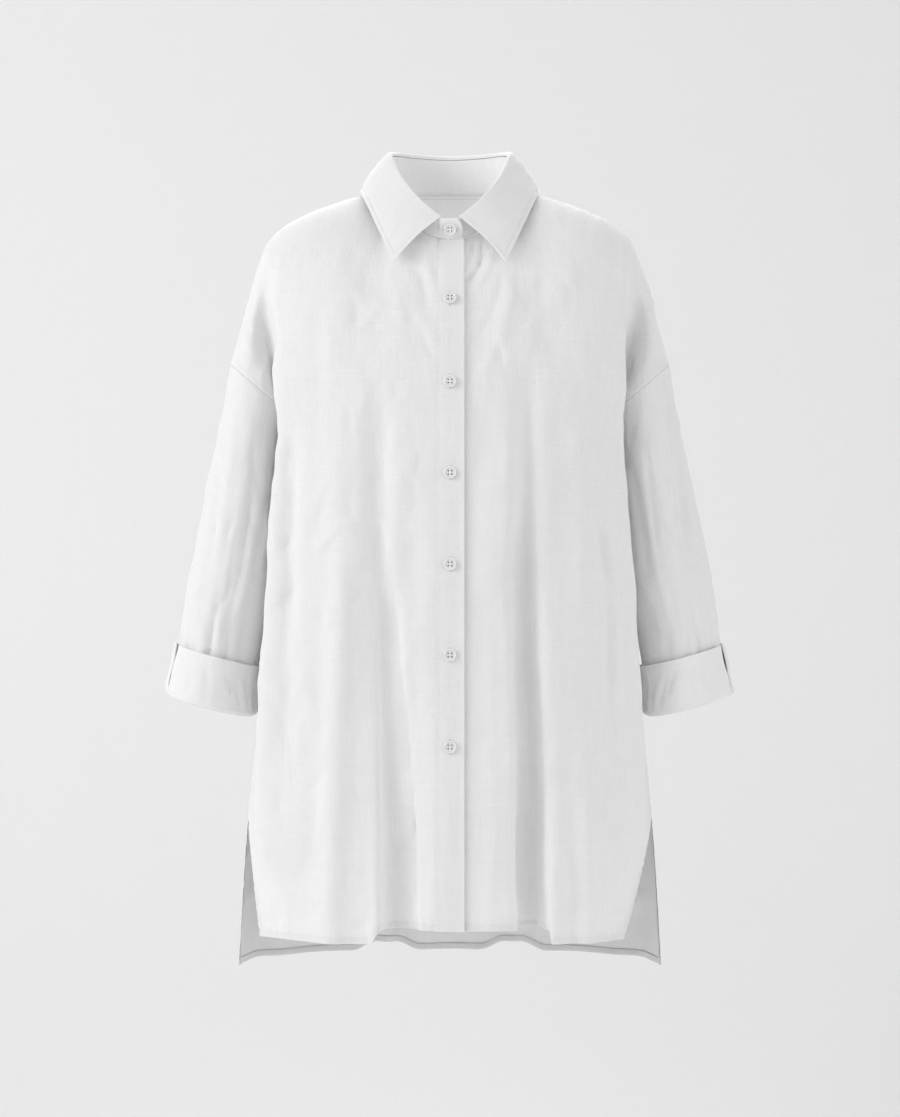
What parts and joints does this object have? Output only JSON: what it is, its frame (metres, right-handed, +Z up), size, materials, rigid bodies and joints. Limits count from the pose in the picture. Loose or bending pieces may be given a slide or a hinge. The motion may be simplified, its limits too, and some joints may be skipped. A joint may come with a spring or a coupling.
{
  "type": "linen blouse",
  "caption": "Oversized long linen shirt with a buttoned front, pointed collar, dropped shoulders, turned-up cuffs, side slits and a longer back, filled out as if worn.",
  "frame": {"origin": "middle of the neck at the height where the shoulders carry the shirt", "axes": "+Z up, -Y towards the front, +X towards the wearer's left"},
  "size_m": [0.5916, 0.2627, 0.8521],
  "materials": {
    "linen": "plain weave linen, matte with a faint sheen",
    "shell_button": "white four-hole button, satin"
  },
  "bodies": {
    "root": {"front_right": "linen", "front_left": "linen", "placket": "linen", "back": "linen", "sleeve_right": "linen", "sleeve_left": "linen", "cuff_right": "linen", "cuff_left": "linen", "collar_stand": "linen", "collar": "linen", "button_1": "shell_button", "button_2": "shell_button", "button_3": "shell_button", "button_4": "shell_button", "button_5": "shell_button", "button_6": "shell_button", "button_7": "shell_button"}
  },
  "joints": []
}
